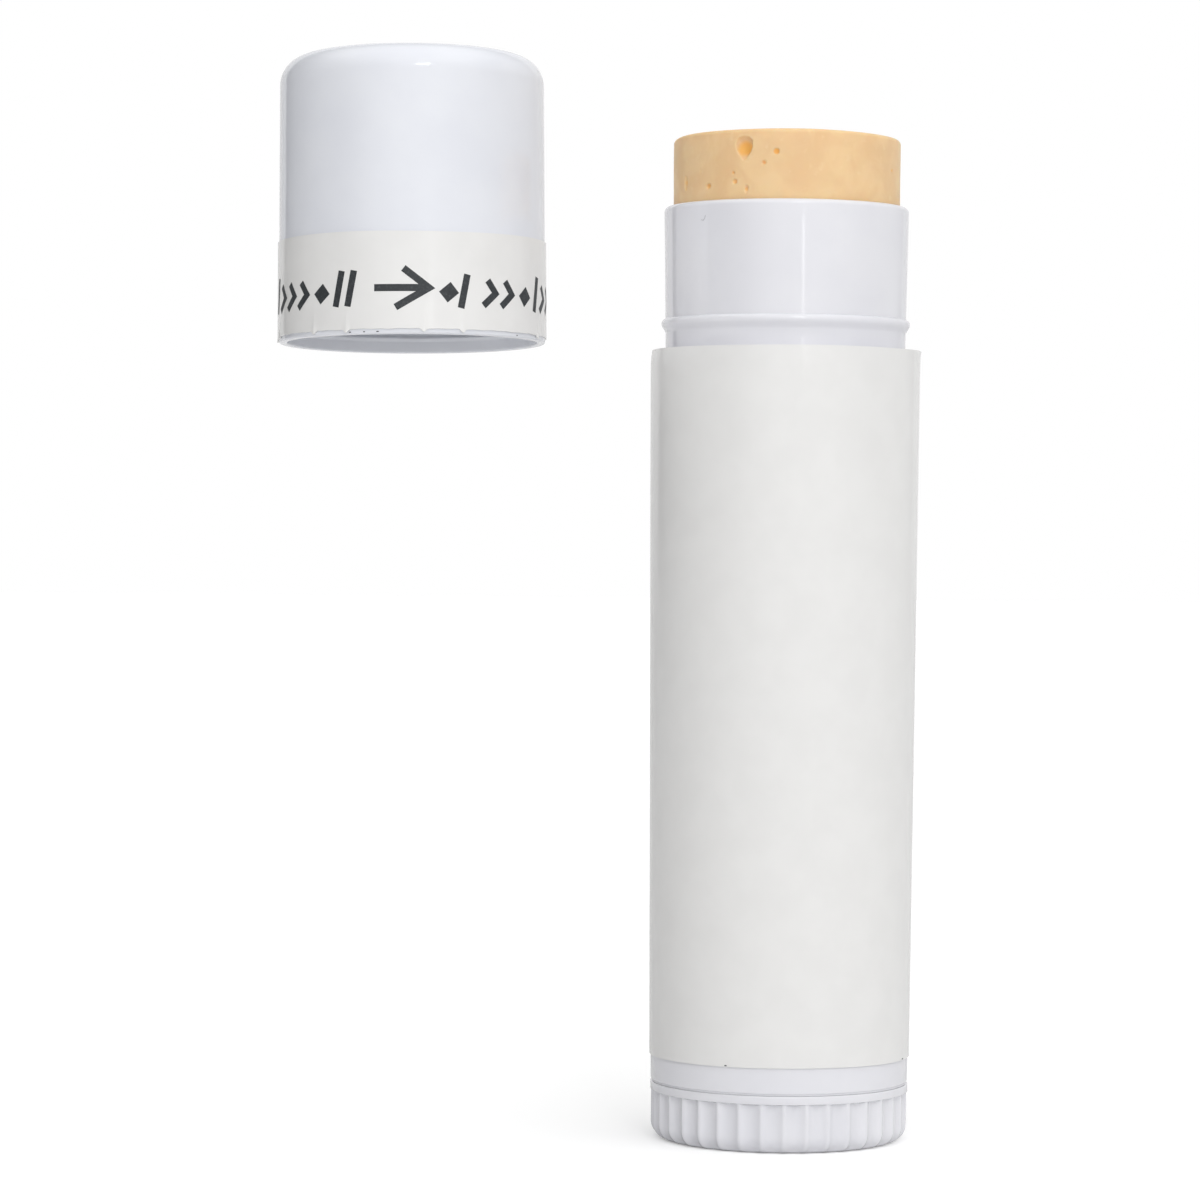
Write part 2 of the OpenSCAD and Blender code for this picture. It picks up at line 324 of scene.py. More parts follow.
@dataclass(frozen=True)
class WaxFinish(Finish):
    """Cast sunscreen wax: cream to peach, softly marbled, with a slight glow under the skin and
    painted shade in its hollows.
    """

    pale: Colour
    middle: Colour
    deep: Colour
    # Painted shade: the hollows in front take this deeper orange colour where shade and bounced light
    # gather in them.
    hollow_shade: Colour
    shaded_hollows: tuple[tuple[Colour, float, float], ...] = ()
    roughness: float = 0.42

    def inputs(self, graph: Graph) -> dict[str, object]:
        """Returns the shader's inputs."""
        place = graph.millimetres()
        warp = graph.node("ShaderNodeTexNoise", {}, {"Vector": place, "Scale": 0.3, "Detail": 2.0})
        push = {"operation": "MULTIPLY_ADD"}
        bent = graph.node(
            "ShaderNodeVectorMath", push, {0: warp.outputs["Color"], 1: (5.0, 5.0, 3.0), 2: place}
        ).outputs[0]
        marble = graph.noise(bent, 0.42, 3.0)
        fleck = graph.noise(place, 1.6, 2.0).over(0.58, 0.8)
        grain = graph.noise(place, 7.0, 3.0)
        smear = graph.noise(graph.millimetres((1.0, 1.0, 3.0)), 0.9, 2.0)
        body = graph.mix(marble.over(0.36, 0.66), self.deep, self.middle)
        veined = graph.mix(fleck * 0.4, body, self.pale)
        # Painted shade in the hollows: the colour deepens toward each hollow's middle, and more in
        # the deeper ones.
        hollow: Value | float = 0.0
        for centre, reach, strength in self.shaded_hollows:
            ends = {0: place, 1: centre}
            away = graph.value("ShaderNodeVectorMath", {"operation": "DISTANCE"}, ends, "Value")
            hollow = hollow + strength * (1.0 - away.over(0.6 * reach, 1.1 * reach))
        relief = grain * 0.0025 + smear * 0.006
        return {
            "Base Color": graph.mix(hollow, veined, self.hollow_shade),
            "Roughness": self.roughness + 0.12 * grain,
            "Specular IOR Level": 0.4,
            "Subsurface Weight": 0.4,
            "Subsurface Radius": (1.0, 0.6, 0.3),
            "Subsurface Scale": 0.8 * MM,
            "Normal": graph.bump(relief, 1.0),
        }


@dataclass(frozen=True)
class InkFinish(Finish):
    """Dark grey print with a slightly uneven lay of ink."""

    colour: Colour
    worn: Colour

    def inputs(self, graph: Graph) -> dict[str, object]:
        """Returns the shader's inputs."""
        lay = graph.noise(graph.millimetres(), 6.0, 3.0)
        return {
            "Base Color": graph.mix(lay.over(0.45, 0.8), self.colour, self.worn),
            "Roughness": 0.45 + 0.1 * lay,
            "Specular IOR Level": 0.4,
        }


def arc(centre: tuple[float, float], radius: float, start: float, end: float, steps: int = 8) -> list:
    """Returns the points of an arc in a section, between two angles in degrees."""
    return [
        (centre[0] + radius * math.cos(a), centre[1] + radius * math.sin(a))
        for a in map(math.radians, np.linspace(start, end, steps + 1))
    ]


def around(steps: int) -> np.ndarray:
    """Returns evenly spaced angles around a full turn, in radians."""
    return np.arange(steps) * (2 * math.pi / steps)


def ripple(angle: np.ndarray, z: np.ndarray, seed: int, waves: int = 5) -> np.ndarray:
    """Returns a soft unevenness from about -1 to 1 over a turned surface.

    Args:
        angle: Angles in radians.
        z: Heights in millimetres.
        seed: Chooses the pattern.
        waves: How many waves are summed.
    """
    draw = np.random.default_rng(seed)
    total = np.zeros(np.broadcast(angle, z).shape)
    for _ in range(waves):
        turns = int(draw.integers(1, 6))
        rise = draw.uniform(-0.5, 0.5)
        phase = draw.uniform(0, 2 * math.pi)
        total += np.sin(turns * angle + rise * z + phase)
    return total / math.sqrt(waves)


def moulded(seed: int, beyond: float) -> Shape:
    """Returns a shape that makes the walls beyond a radius slightly uneven, as a moulding is."""

    def uneven(angle: np.ndarray, r: np.ndarray, z: np.ndarray) -> Moved:
        return r + MOULD_WAVE * ripple(angle, z, seed) * (r > beyond), z

    return uneven


class Shells:
    """Points and faces of one piece, gathered from closed shells, in millimetres."""

    def __init__(self) -> None:
        """Starts with no shells."""
        self.points: list[np.ndarray] = []
        self.faces: list[tuple[int, ...]] = []
        self.count = 0

    def add(self, points: np.ndarray, faces: Sequence[tuple[int, ...]]) -> None:
        """Adds one shell whose faces count its own points from 0."""
        first = self.count
        self.faces.extend(tuple(i + first for i in face) for face in faces)
        self.points.append(np.asarray(points, dtype=float))
        self.count += len(points)

    def turn(
        self,
        section: Sequence[tuple[float, float]],
        angles: np.ndarray,
        shape: Shape | None = None,
        sweep: bool = False,
    ) -> None:
        """Turns a section of (radius, height) points about the Z axis.

        Args:
            section: Points in order, with the solid on their left. It closes on itself, or
                starts and ends on the axis.
            angles: Where the section is placed, in radians.
            shape: Moves the turned points, given their angles, radii and heights.
            sweep: True where the angles end short of the start, so that both ends are capped.
        """
        radius, height = np.array(section, dtype=float).T
        poles = radius[0] < POLE_R and radius[-1] < POLE_R
        angle = angles[:, None]
        r, z = np.broadcast_arrays(radius[None, :] + 0 * angle, height[None, :] + 0 * angle)
        if shape:
            r, z = shape(angle, r, z)
        grid = np.stack([r * np.cos(angle), r * np.sin(angle), z + 0 * angle], axis=2)
        if poles:
            self._add_with_poles(grid)
        else:
            self._add_ring(grid, sweep)

    def _add_ring(self, grid: np.ndarray, sweep: bool) -> None:
        """Adds a grid whose section closes on itself."""
        columns, rows = grid.shape[:2]
        last = columns - 1 if sweep else columns
        faces = [
            (
                i * rows + j,
                (i + 1) % columns * rows + j,
                (i + 1) % columns * rows + (j + 1) % rows,
                i * rows + (j + 1) % rows,
            )
            for i in range(last)
            for j in range(rows)
        ]
        if sweep:
            faces.append(tuple(range(rows)))
            faces.append(tuple(reversed(range(last * rows, columns * rows))))
        self.add(grid.reshape(-1, 3), faces)

    def _add_with_poles(self, grid: np.ndarray) -> None:
        """Adds a grid whose section starts and ends on the axis."""
        columns = grid.shape[0]
        low = grid[:, 0].mean(axis=0)
        high = grid[:, -1].mean(axis=0)
        inner = grid[:, 1:-1]
        rows = inner.shape[1]
        first, last = columns * rows, columns * rows + 1
        faces: list[tuple[int, ...]] = []
        for i in range(columns):
            here, there = i * rows, (i + 1) % columns * rows
            faces.append((first, there, here))
            faces.extend(
                (here + j, there + j, there + j + 1, here + j + 1) for j in range(rows - 1)
            )
            faces.append((here + rows - 1, there + rows - 1, last))
        self.add(np.vstack([inner.reshape(-1, 3), low, high]), faces)

    def box(self, low: Sequence[float], high: Sequence[float], turned: float) -> None:
        """Adds a block between two corners, turned about the Z axis by degrees."""
        xs, ys, zs = zip(low, high)
        corners = np.array([(x, y, z) for z in zs for y in ys for x in xs])
        spin = np.array(Matrix.Rotation(math.radians(turned), 3, "Z"))
        sides = [(0, 2, 3, 1), (4, 5, 7, 6), (0, 1, 5, 4), (1, 3, 7, 5), (3, 2, 6, 7), (2, 0, 4, 6)]
        self.add(corners @ spin.T, sides)

    def piece(self, name: str, sharp: float = 35.0, placed: Matrix | None = None) -> bpy.types.Object:
        """Makes the object, smooth except at edges sharper than an angle in degrees.

        Args:
            name: The piece's name.
            sharp: Edges that turn more than this stay crisp.
            placed: Moves the points, in millimetres.

        Returns:
            The object, linked to the scene.
        """
        points = np.vstack(self.points)
        if placed is not None:
            points = points @ np.array(placed.to_3x3()).T + np.array(placed.translation)
        mesh = bpy.data.meshes.new(name)
        mesh.from_pydata((points * MM).tolist(), [], self.faces)
        made = bmesh.new()
        made.from_mesh(mesh)
        bmesh.ops.recalc_face_normals(made, faces=made.faces)
        limit = math.radians(sharp)
        for edge in made.edges:
            edge.smooth = edge.calc_face_angle(0.0) < limit
        for face in made.faces:
            face.smooth = True
        made.to_mesh(mesh)
        made.free()
        return add_object(name, mesh)


class Mark(Enum):
    """The plain marks of the printed band, as strokes in a square of side 1."""

    BAR = ((((0.5, 0.0), (0.5, 1.0)),), False)
    CHEVRON = ((((0.1, 0.0), (0.75, 0.5), (0.1, 1.0)),), False)
    DIAMOND = ((((0.5, 0.0), (1.0, 0.5), (0.5, 1.0), (0.0, 0.5)),), True)
    ARROW = ((((0.0, 0.5), (0.9, 0.5)), ((0.45, 0.0), (0.97, 0.5), (0.45, 1.0))), False)

    @property
    def strokes(self) -> tuple:
        """Returns the strokes' points."""
        return self.value[0]

    @property
    def closed(self) -> bool:
        """Returns whether each stroke ends where it began."""
        return self.value[1]


@dataclass(frozen=True)
class PrintedMark:
    """One mark on a wall: its left edge along the wall, its foot and its size, in millimetres."""

    mark: Mark
    left: float
    foot: float
    width: float
    height: float


def in_row(mark: Mark, size: tuple[float, float, float], *lefts: float) -> list[PrintedMark]:
    """Returns one mark at several places, all with the same (foot, width, height)."""
    return [PrintedMark(mark, left, *size) for left in lefts]


@dataclass
class Ink:
    """Flat strokes laid on a turned wall.

    Attributes:
        surface: Returns the wall's radius and height at an angle and a height.
        wall_r: The radius at which distances round the wall are measured.
        stroke: How wide a stroke is.
        slant: How far a stroke leans for each millimetre that it rises.
        rise: How far the ink stands off the wall.
        step: The longest stretch that is drawn straight.
    """

    surface: Callable[[np.ndarray, np.ndarray], Moved]
    wall_r: float
    stroke: float
    slant: float = 0.0
    rise: float = 0.006
    step: float = 0.2

    def draw(self, shells: Shells, mark: PrintedMark) -> None:
        """Adds a mark's strokes to the shells."""
        wide, high = mark.width, mark.height
        for stroke in mark.mark.strokes:
            line = [
                (mark.left + x * wide + y * high * self.slant, mark.foot + y * high)
                for x, y in stroke
            ]
            self.line(shells, line, mark.mark.closed)

    def line(self, shells: Shells, line: Sequence[tuple[float, float]], closed: bool = False) -> None:
        """Adds one mitred stroke along a line of (distance round the wall, height) points."""
        points = np.array(line, dtype=float)
        count = len(points)
        after = np.roll(points, -1, axis=0) - points
        before = points - np.roll(points, 1, axis=0)
        if not closed:
            after[-1], before[0] = before[-1], after[0]
        after /= np.linalg.norm(after, axis=1)[:, None]
        before /= np.linalg.norm(before, axis=1)[:, None]
        across = np.stack([-(after + before)[:, 1], (after + before)[:, 0]], axis=1)
        across /= np.linalg.norm(across, axis=1)[:, None]
        square = across[:, 0] * -after[:, 1] + across[:, 1] * after[:, 0]
        across *= (self.stroke / 2 / np.maximum(square, 0.4))[:, None]
        for i in range(count if closed else count - 1):
            j = (i + 1) % count
            pieces = max(1, math.ceil(np.linalg.norm(points[j] - points[i]) / self.step))
            share = np.linspace(0.0, 1.0, pieces + 1)[:, None]
            middle = points[i] * (1 - share) + points[j] * share
            side = across[i] * (1 - share) + across[j] * share
            flat = np.stack([middle - side, middle, middle + side], axis=1).reshape(-1, 2)
            faces = [
                (3 * k + m, 3 * k + 3 + m, 3 * k + 4 + m, 3 * k + 1 + m)
                for k in range(pieces)
                for m in (0, 1)
            ]
            shells.add(self._laid(flat), faces)

    def dashes(self, spots: Spots, z: float) -> Shells:
        """Returns short dashes at one height, from (distance round the wall, length) pairs."""
        shells = Shells()
        for along, length in spots:
            self.line(shells, [(along, z), (along + length, z)])
        return shells

    def _laid(self, flat: np.ndarray) -> np.ndarray:
        """Returns where flat points lie once they are on the wall."""
        angle = math.radians(FRONT) + flat[:, 0] / self.wall_r
        r, z = self.surface(angle, flat[:, 1])
        r = r + self.rise
        return np.stack([r * np.cos(angle), r * np.sin(angle), z], axis=1)


def dress(piece: bpy.types.Object, material: bpy.types.Material) -> bpy.types.Object:
    """Gives a piece one material in place of any that it had, and returns the piece."""
    piece.data.materials.clear()
    piece.data.materials.append(material)
    return piece


def settle(
    piece: bpy.types.Object,
    material: bpy.types.Material,
    body: Body,
    stands_for: str | None = None,
) -> bpy.types.Object:
    """Dresses a new piece, puts it on its body and hides the solid that it stands for.

    Args:
        piece: The piece.
        material: Its material.
        body: The body that it rides on.
        stands_for: The solid that it replaces, if any.

    Returns:
        The piece.
    """
    dress(piece, material)
    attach(piece, body.value)
    if stands_for:
        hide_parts(stands_for)
    LOG.info("%s: %d faces on %s", piece.name, len(piece.data.polygons), body.value)
    return piece


@dataclass
class Fits:
    """The sizes that several pieces share."""

    bore_r: float = 6.9
    wheel_top: float = 3.45
    foot_z: float = 3.55
    foot_r: float = 7.75
    shoulder_z: float = 47.45
    shoulder_r: float = 8.05
    rim_z: float = 56.2
    rim_r: float = 7.375
    neck_low_r: float = 7.23
    edge_r: float = 0.12
    film_t: float = 0.08
    bond: float = 0.01
    boss_top: float = 6.65
    snap_z: float = 5.05
    rib_count: int = 4
    rib_w: float = 0.7
    rib_out: float = 0.35
    rib_top: float = 50.5

    def body_r(self, z: float) -> float:
        """Returns the tube's outer radius below the shoulder."""
        share = (z - self.foot_z) / (self.shoulder_z - self.foot_z)
        return self.foot_r + (self.shoulder_r - self.foot_r) * share

    def neck_r(self, z: float) -> float:
        """Returns the neck's outer radius."""
        share = (z - self.shoulder_z) / (self.rim_z - self.shoulder_z)
        return self.neck_low_r + (self.rim_r - self.neck_low_r) * share

    def rib_angles(self) -> list[float]:
        """Returns the guide ribs' angles in degrees."""
        return [(i + 0.5) * 360.0 / self.rib_count for i in range(self.rib_count)]


@dataclass
class Tube:
    """The tube's moulding: foot, body, shoulder, neck with its snap bead, bore and guide ribs."""

    fits: Fits
    plastic: bpy.types.Material
    rubbed: bpy.types.Material
    bead_z: float = 49.15
    bead_out: float = 0.24
    bead_up: float = 0.28
    bead_low: float = 0.6
    rim_edge_r: float = 0.32
    lip_r: float = 0.1
    fillet_r: float = 0.1
    groove_deep: float = 0.3
    groove_h: float = 0.76
    foot_step: float = 0.07
    foot_gap: float = 0.02
    rib_low: float = 6.8
    scuff_w: float = 0.07
    scuff: Spots = ((-5.9, 55.05), (-5.75, 55.0), (-5.62, 55.1), (-5.55, 55.3))
    even_r: float = 7.1
    steps: int = 320

    def section(self) -> Section:
        """Returns the tube's section, up its outside and down its bore."""
        fits = self.fits
        edge = fits.edge_r
        shoulder = fits.shoulder_z
        neck_foot = (fits.neck_r(shoulder) + self.fillet_r, shoulder + self.fillet_r)
        lower = [
            (self._neck_at(-self.bead_low * t) + self.bead_out * (1 + math.cos(math.pi * t)) / 2,
             self.bead_z - self.bead_low * t)
            for t in np.linspace(1.0, 0.1, 9)
        ]
        upper = [
            (self._neck_at(self.bead_up * math.sin(a)) + self.bead_out * math.cos(a),
             self.bead_z + self.bead_up * math.sin(a))
            for a in np.linspace(0.0, math.pi / 2, 9)
        ]
        rim = (fits.rim_r - self.rim_edge_r, fits.rim_z - self.rim_edge_r)
        lip = (fits.bore_r + self.lip_r, fits.rim_z - self.lip_r)
        half = self.groove_h / 2
        seat = fits.wheel_top + self.foot_gap
        return [
            (fits.bore_r, seat),
            (fits.foot_r - self.foot_step, seat),
            (fits.foot_r - self.foot_step, fits.foot_z),
            (fits.foot_r, fits.foot_z + self.foot_step),
            (fits.body_r(20.0), 20.0),
            (fits.body_r(shoulder - 2), shoulder - 2),
            *arc((fits.shoulder_r - edge, shoulder - edge), edge, 0, 90),
            *arc(neck_foot, self.fillet_r, 270, 180),
            *lower,
            *upper,
            (self._neck_at(3.0), self.bead_z + 3.0),
            *arc(rim, self.rim_edge_r, 0, 90, 10),
            *arc(lip, self.lip_r, 90, 180),
            (fits.bore_r, self.bead_z),
            (fits.bore_r, fits.snap_z + half),
            (fits.bore_r + self.groove_deep, fits.snap_z + half / 3),
            (fits.bore_r + self.groove_deep, fits.snap_z - half / 3),
            (fits.bore_r, fits.snap_z - half),
        ]

    def _neck_at(self, above_bead: float) -> float:
        """Returns the neck's radius at a height above the bead's crest."""
        return self.fits.neck_r(self.bead_z + above_bead)

    def build(self) -> None:
        """Makes the tube."""
        fits = self.fits
        shells = Shells()
        shells.turn(self.section(), around(self.steps), moulded(11, self.even_r))
        for angle in fits.rib_angles():
            low = (fits.bore_r - fits.rib_out, -fits.rib_w / 2, self.rib_low)
            high = (fits.bore_r + fits.edge_r, fits.rib_w / 2, fits.rib_top)
            shells.box(low, high, angle)
        settle(shells.piece("tube_moulding"), self.plastic, Body.TUBE, "barrel")
        mark = Shells()
        Ink(lambda angle, z: (fits.neck_r(z), z), fits.rim_r, self.scuff_w).line(mark, self.scuff)
        settle(mark.piece("neck_scuff"), self.rubbed, Body.TUBE)


@dataclass
class WrapFilm:
    """A film wrapped once around a wall, lapping over itself at the back."""

    low: float
    high: float
    low_r: float
    high_r: float
    thickness: float
    lap_w: float = 3.8
    columns: int = 420
    rows: int = 60
    lap_gap: float = 0.01
    climb: float = 0.05
    bulge: Shape | None = None

    def shells(self) -> Shells:
        """Returns the film as one closed strip, in millimetres."""
        heights = np.linspace(0.0, 1.0, self.rows)
        outer = [(self._wall(t) + self.thickness, self._height(t)) for t in heights]
        inner = [(self._wall(t), self._height(t)) for t in reversed(heights)]
        start = self._start()
        angles = start + np.linspace(0.0, 2 * math.pi + self._lap(), self.columns)
        made = Shells()
        made.turn(outer + inner, angles, self._wrap, sweep=True)
        return made

    def skin(self, angle: np.ndarray, z: np.ndarray) -> Moved:
        """Returns the radius and height of the film's outside at an angle and a height."""
        start = self._start()
        turned = (angle - start) % (2 * math.pi)
        turned = np.where(turned < self._lap(), turned + 2 * math.pi, turned)
        share = (z - self.low) / (self.high - self.low)
        return self._wrap(start + turned, self._wall(share) + self.thickness, z)

    def _wall(self, share: float) -> float:
        """Returns the wall's radius at a share of the film's height."""
        return self.low_r + (self.high_r - self.low_r) * share

    def _height(self, share: float) -> float:
        """Returns the height at a share of the film's height."""
        return self.low + (self.high - self.low) * share

    def _lap(self) -> float:
        """Returns the overlap as an angle in radians."""
        return self.lap_w / self.high_r

    def _start(self) -> float:
        """Returns the angle in radians at which the film starts."""
        return math.radians(BACK) - self._lap() / 2

    def _wrap(self, angle: np.ndarray, r: np.ndarray, z: np.ndarray) -> Moved:
        """Lifts the film's end over its start and adds the film's own unevenness."""
        start = self._start()
        past = (angle - start - 2 * math.pi + self.climb) / self.climb
        lifted = np.clip(past, 0.0, 1.0)
        r = r + lifted * (self.thickness + self.lap_gap)
        if self.bulge:
            r, z = self.bulge(angle, r, z)
        return r, z


def near(angle: np.ndarray, place: float, width: float) -> np.ndarray:
    """Returns a bump that is 1 at an angle in degrees and fades over a width in degrees."""
    away = (np.degrees(angle) - place + 180.0) % 360.0 - 180.0
    return np.exp(-((away / width) ** 2))


@dataclass
class TubeLabel:
    """The plain wrap label on the tube's body."""

    fits: Fits
    film: bpy.types.Material
    speck: bpy.types.Material
    low: float = 5.1
    high: float = 47.55
    flare_h: float = 0.35
    flare_out: float = 0.05
    curl_in: float = 0.09
    loose: float = 0.003
    waver: float = 0.02
    speck_h: float = 0.07
    specks: Spots = ((-3.6, 0.14), (9.05, 0.24), (16.0, 0.12), (-17.5, 0.1))

    def build(self) -> None:
        """Makes the label."""
        fits = self.fits
        wrap = WrapFilm(
            low=self.low,
            high=self.high,
            low_r=fits.body_r(self.low) + fits.bond,
            high_r=fits.body_r(self.high) + fits.bond,
            thickness=fits.film_t,
            rows=90,
            bulge=self._settle_on_tube,
        )
        piece = wrap.shells().piece("tube_wrap_label", sharp=50)
        settle(piece, self.film, Body.TUBE, "barrel_label")
        self._soil(wrap)

    def _soil(self, wrap: WrapFilm) -> None:
        """Leaves the small dark specks on the label's lower edge."""
        ink = Ink(wrap.skin, wrap.low_r, self.speck_h)
        dashes = ink.dashes(self.specks, self.low + self.speck_h)
        settle(dashes.piece("label_specks"), self.speck, Body.TUBE)

    def _settle_on_tube(
        self, angle: np.ndarray, r: np.ndarray, z: np.ndarray
    ) -> Moved:
        """Lifts the film a little, flares its top edge on the right and curls it in on the left."""
        at_top = np.exp(-(self.high - z) / self.flare_h)
        flare = self.flare_out * near(angle, 0.0, 28.0) - self.curl_in * near(angle, 180.0, 30.0)
        loose = self.loose * ripple(angle, z, 5)
        waver = self.waver * ripple(angle, 0 * z, 8)
        from_end = np.minimum(z - self.low, self.high - z)
        share = np.clip(1 - from_end, 0.0, 1.0)
        return r + loose + at_top * flare, z + waver * share


@dataclass
class SealBand:
    """The upper part of the wrap film, torn off along its perforation and left on the cap."""

    fits: Fits
    film: bpy.types.Material
    ink: bpy.types.Material
    placed: Matrix
    mouth_r: float = 8.028
    draft: float = 0.06
    draft_h: float = 15.7
    low: float = 0.3
    height: float = 5.75
    repeats: int = 2
    stroke: float = 0.42
    slant: float = 0.2
    nib_h: float = 0.2
    nib_w: float = 1.1
    nib_out: float = 0.07
    edge_power: int = 12
    waver: float = 0.02
    loose: float = 0.002
    foot: float = 1.65
    marks: tuple[PrintedMark, ...] = (
        *in_row(Mark.BAR, (0.0, 0.5, 2.1), -11.2),
        *in_row(Mark.CHEVRON, (0.1, 1.1, 1.5), -10.2, -8.9, -7.6),
        *in_row(Mark.DIAMOND, (0.5, 0.62, 0.62), -5.75),
        *in_row(Mark.BAR, (0.0, 0.5, 2.1), -4.6, -3.8),
        *in_row(Mark.ARROW, (-0.1, 3.3, 2.3), -2.1),
        *in_row(Mark.DIAMOND, (0.5, 0.62, 0.62), 2.15),
        *in_row(Mark.BAR, (-0.1, 0.5, 2.0), 3.0),
        *in_row(Mark.CHEVRON, (0.1, 1.1, 1.5), 4.6, 5.9),
        *in_row(Mark.DIAMOND, (0.5, 0.62, 0.62), 7.75),
        *in_row(Mark.BAR, (0.0, 0.5, 2.1), 9.0),
        *in_row(Mark.CHEVRON, (0.1, 1.1, 1.5), 10.0, 11.3),
    )
    nibs: tuple[float, ...] = (
        -116.0, -82.6, -65.9, -133.0, -166.0, 178.0, 20.0, -20.0, 60.0, 98.0, 140.0
    )

    def build(self) -> None:
        """Makes the band and its marks."""
        fits = self.fits
        high = self.low + self.height
        wrap = WrapFilm(
            low=self.low,
            high=high,
            low_r=self.wall_r(self.low) + fits.bond,
            high_r=self.wall_r(high) + fits.bond,
            thickness=fits.film_t,
            columns=900,
            rows=24,
            bulge=self._tear,
        )
        piece = wrap.shells().piece("cap_seal_band", sharp=50, placed=self.placed)
        settle(piece, self.film, Body.CAP, "seal_band")
        self._print(wrap)

    def _print(self, wrap: WrapFilm) -> None:
        """Prints the row of plain marks round the band."""
        ink = Ink(wrap.skin, wrap.high_r, self.stroke, self.slant)
        shells = Shells()
        for repeat in range(self.repeats):
            along = repeat * 2 * math.pi * wrap.high_r / self.repeats
            for mark in self.marks:
                ink.draw(shells, replace(mark, left=mark.left + along, foot=mark.foot + self.foot))
        piece = shells.piece("band_print", placed=self.placed)
        settle(piece, self.ink, Body.CAP)

    def wall_r(self, h: float) -> float:
        """Returns the cap's outer radius at a height above its mouth."""
        return self.mouth_r - self.draft * h / self.draft_h

    def _tear(self, angle: np.ndarray, r: np.ndarray, z: np.ndarray) -> Moved:
        """Gives the lower edge its torn nibs and the upper edge a slight waver."""
        share = np.clip((self.low + self.height - z) / self.height, 0.0, 1.0)
        nib = sum(near(angle, place, self.nib_w) for place in self.nibs)
        rough = self.waver * ripple(9 * angle, 0 * z, 21)
        waver = self.waver * ripple(angle, 0 * z, 3)
        at_edge = share**self.edge_power
        torn = at_edge * (rough - self.nib_h * nib)
        out = at_edge * self.nib_out * nib
        return r + out + self.loose * ripple(angle, z, 9), z + torn + (1 - share) * waver


@dataclass
class Cap:
    """The thin-walled cap, taken off and shown mouth down."""

    fits: Fits
    plastic: bpy.types.Material
    speck: bpy.types.Material
    placed: Matrix
    length: float = 17.45
    mouth_r: float = 8.028
    wall: float = 0.48
    draft: float = 0.06
    edge_r: float = 1.75
    dome: float = 0.15
    dome_power: float = 1.3
    roof_t: float = 0.8
    snap_up: float = 0.9
    snap_out: float = 0.12
    speck_h: float = 0.06
    speck_z: float = 0.14
    specks: Spots = ((-3.5, 0.14), (-2.58, 0.12), (-1.76, 0.14), (-11.9, 0.2), (7.4, 0.1))
    even_r: float = 6.0
    steps: int = 320

    def section(self) -> Section:
        """Returns the cap's section from the middle of its roof's underside to its crown."""
        round_r = self.fits.edge_r
        crown_z = self.length - self.dome - self.edge_r
        crown_r = self.mouth_r - self.draft - self.edge_r
        inner_r = self.mouth_r - self.wall
        inner_edge = self.edge_r - self.wall
        roof_z = self.length - self.roof_t
        half = 2 * self.snap_out
        ridge = [
            (inner_r - self.snap_out * (1 + math.cos(math.pi * t)) / 2, self.snap_up - half * t)
            for t in np.linspace(-1.0, 1.0, 13)
        ]
        dome = [
            (crown_r * (1 - t), self.length - self.dome * (1 - t) ** self.dome_power)
            for t in np.linspace(0.0, 1.0, 12)
        ]
        return [
            (0.0, roof_z),
            (2.5, roof_z),
            *arc((inner_r - self.draft - inner_edge, roof_z - inner_edge), inner_edge, 90, 0, 10),
            (inner_r - self.draft / 2, self.length / 2),
            *ridge,
            *arc((inner_r + round_r, round_r), round_r, 180, 270, 6),
            *arc((self.mouth_r - round_r, round_r), round_r, 270, 360, 6),
            (self.mouth_r - self.draft / 4, self.length / 4),
            (self.mouth_r - self.draft / 2, self.length / 2),
            (self.mouth_r - 0.8 * self.draft, 0.75 * self.length),
            *arc((crown_r, crown_z), self.edge_r, 0, 87, 24),
            *dome[1:],
        ]

    def build(self) -> None:
        """Makes the cap."""
        shells = Shells()
        shells.turn(self.section(), around(self.steps), moulded(17, self.even_r))
        piece = shells.piece("cap_shell", placed=self.placed)
        settle(piece, self.plastic, Body.CAP, "cap")
        ink = Ink(lambda angle, z: (self.mouth_r + 0 * angle, z), self.mouth_r, self.speck_h)
        dashes = ink.dashes(self.specks, self.speck_z).piece("cap_lip_specks", placed=self.placed)
        settle(dashes, self.speck, Body.CAP)


